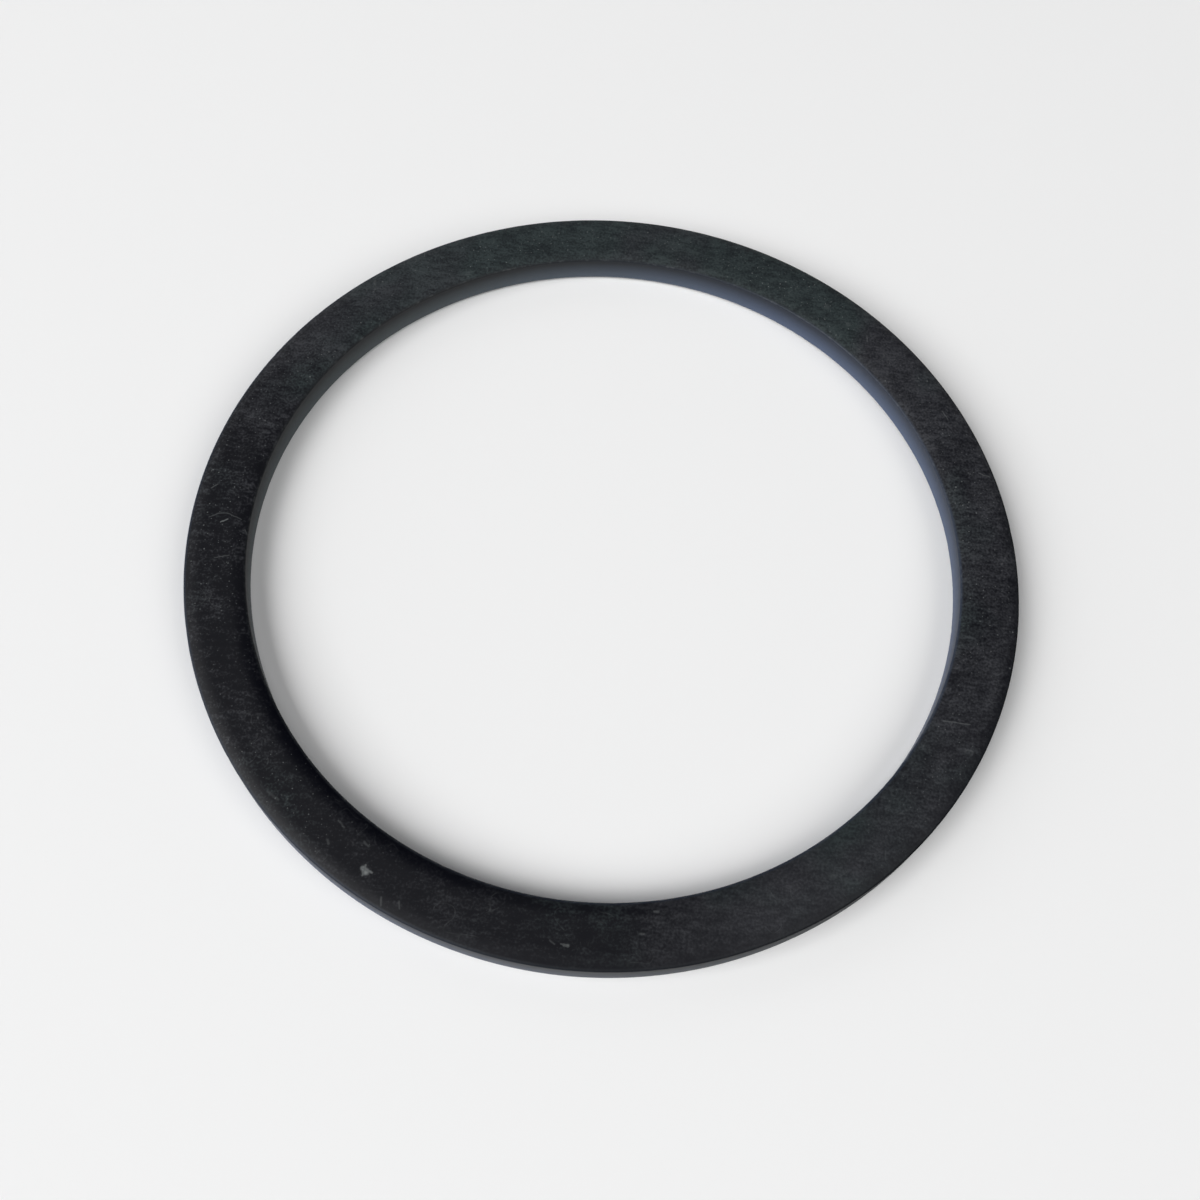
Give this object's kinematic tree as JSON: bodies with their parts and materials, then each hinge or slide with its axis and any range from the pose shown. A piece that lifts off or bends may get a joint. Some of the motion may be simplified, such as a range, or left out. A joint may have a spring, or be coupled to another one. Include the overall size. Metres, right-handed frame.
{
  "type": "nylon washer",
  "caption": "Thin flat plastic ring with a wide plain hole, used as a spacer, bearing face or seal under a nut, collar or cap.",
  "frame": {"origin": "centre of the hole, in the plane of the underside that the washer lies on", "axes": "+Z along the hole's axis, up out of the upper face; X and Y are alike, because the washer is round"},
  "size_m": [0.07, 0.07, 0.003],
  "materials": {
    "nylon": "matte, finely mottled, with pale dust specks and a few hairline scratches"
  },
  "bodies": {
    "root": {"washer": "nylon"}
  },
  "joints": []
}
